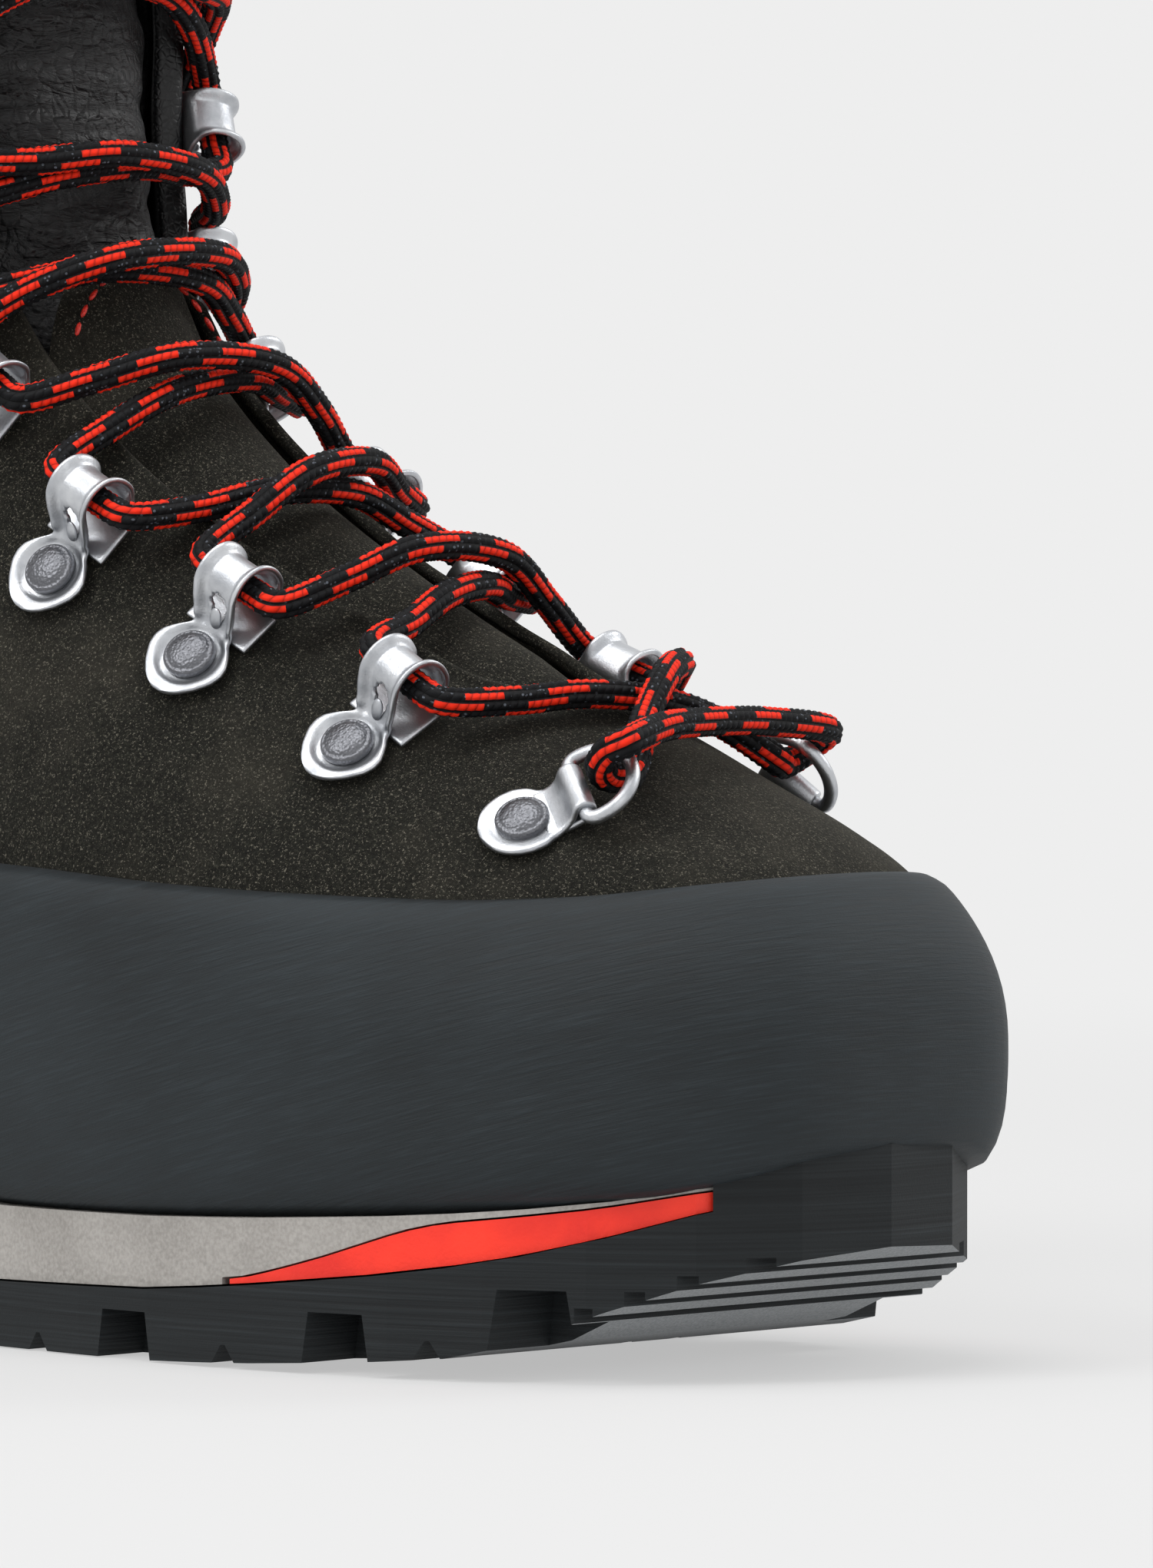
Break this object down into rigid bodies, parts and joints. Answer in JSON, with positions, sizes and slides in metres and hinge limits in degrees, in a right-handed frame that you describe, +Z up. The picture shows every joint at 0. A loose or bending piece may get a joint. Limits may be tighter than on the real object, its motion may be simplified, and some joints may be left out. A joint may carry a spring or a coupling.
{
  "type": "mountaineering boot",
  "caption": "Right mountaineering boot with suede and leather upper, rubber rand, lugged sole, padded collar and tongue, lace hooks, toe rings and a tied lace.",
  "frame": {"origin": "on the ground plane, in the tread's flat face under the ball of the foot", "axes": "+X to the toe, +Y to the inner side of the foot, +Z up"},
  "size_m": [0.3001, 0.1, 0.2212],
  "materials": {
    "outsole_rubber": "matt moulded lugged rubber",
    "midsole_foam": "matt pebbled foam rubber",
    "wedge_foam": "satin foam rubber",
    "stiff_plastic": "matt moulded plastic",
    "fibre_board": "pressed fibre board",
    "footbed_foam": "felt-covered foam",
    "rand_rubber": "buffed matt rubber",
    "suede": "brushed nubuck",
    "black_leather": "smooth satin leather",
    "padded_leather": "soft wrinkled leather over foam",
    "lining_fabric": "woven lining",
    "satin_metal": "satin pressed metal strip and wire",
    "pewter_metal": "hammered pewter cap",
    "lace_cord": "round braid with red flecks",
    "gloss_black_plastic": "smooth tube",
    "webbing": "woven webbing"
  },
  "bodies": {
    "boot": {"midsole": "midsole_foam", "forefoot_wedge": "wedge_foam", "shank": "stiff_plastic", "heel_crampon_plate": "stiff_plastic", "outsole": "outsole_rubber", "lasting_board": "fibre_board", "footbed": "footbed_foam", "rand": "rand_rubber", "suede_upper": "suede", "cuff_outer": "black_leather", "cuff_inner": "black_leather", "toe_puff": "stiff_plastic", "heel_counter": "stiff_plastic", "lining": "lining_fabric", "collar_pad": "padded_leather", "tongue_vamp": "suede", "tongue_pad": "padded_leather", "gusset_outer": "lining_fabric", "gusset_inner": "lining_fabric", "ring_clip_outer": "satin_metal", "rivet_ring_outer": "pewter_metal", "ring_clip_inner": "satin_metal", "rivet_ring_inner": "pewter_metal", "hook_row1_outer": "satin_metal", "rivet_row1_outer": "pewter_metal", "hook_row1_inner": "satin_metal", "rivet_row1_inner": "pewter_metal", "hook_row2_outer": "satin_metal", "rivet_row2_outer": "pewter_metal", "hook_row2_inner": "satin_metal", "rivet_row2_inner": "pewter_metal", "hook_row3_outer": "satin_metal", "rivet_row3_outer": "pewter_metal", "hook_row3_inner": "satin_metal", "rivet_row3_inner": "pewter_metal", "hook_row4_outer": "satin_metal", "rivet_row4_outer": "pewter_metal", "hook_row4_inner": "satin_metal", "rivet_row4_inner": "pewter_metal", "hook_row5_outer": "satin_metal", "rivet_row5_outer": "pewter_metal", "hook_row5_inner": "satin_metal", "rivet_row5_inner": "pewter_metal", "hook_row6_outer": "satin_metal", "rivet_row6_outer": "pewter_metal", "hook_row6_inner": "satin_metal", "rivet_row6_inner": "pewter_metal", "lace_outer": "lace_cord", "lace_inner": "lace_cord", "bow_knot": "lace_cord", "bow_loop_outer": "lace_cord", "lace_end_outer": "lace_cord", "aglet_outer": "gloss_black_plastic", "bow_loop_inner": "lace_cord", "lace_end_inner": "lace_cord", "aglet_inner": "gloss_black_plastic", "backstay": "black_leather"},
    "toe_ring_outer": {"toe_ring_outer": "satin_metal"},
    "toe_ring_inner": {"toe_ring_inner": "satin_metal"},
    "pull_loop": {"pull_loop": "webbing"}
  },
  "joints": [
    {"name": "toe_ring_outer_swing", "type": "hinge", "parent": "boot", "child": "toe_ring_outer", "pos_m": [0.10914, -0.02367, 0.08279], "axis": [-0.6892, 0.3694, 0.6234], "range_deg": [-5, 5]},
    {"name": "toe_ring_inner_swing", "type": "hinge", "parent": "boot", "child": "toe_ring_inner", "pos_m": [0.10083, 0.03243, 0.08319], "axis": [-0.6677, -0.3637, 0.6496], "range_deg": [-5, 5]},
    {"name": "pull_loop_swing", "type": "hinge", "parent": "boot", "child": "pull_loop", "pos_m": [-0.14068, 0, 0.17757], "axis": [0, -1, 0], "range_deg": [0, 60], "stiffness_Nm_per_rad": 0.003}
  ]
}
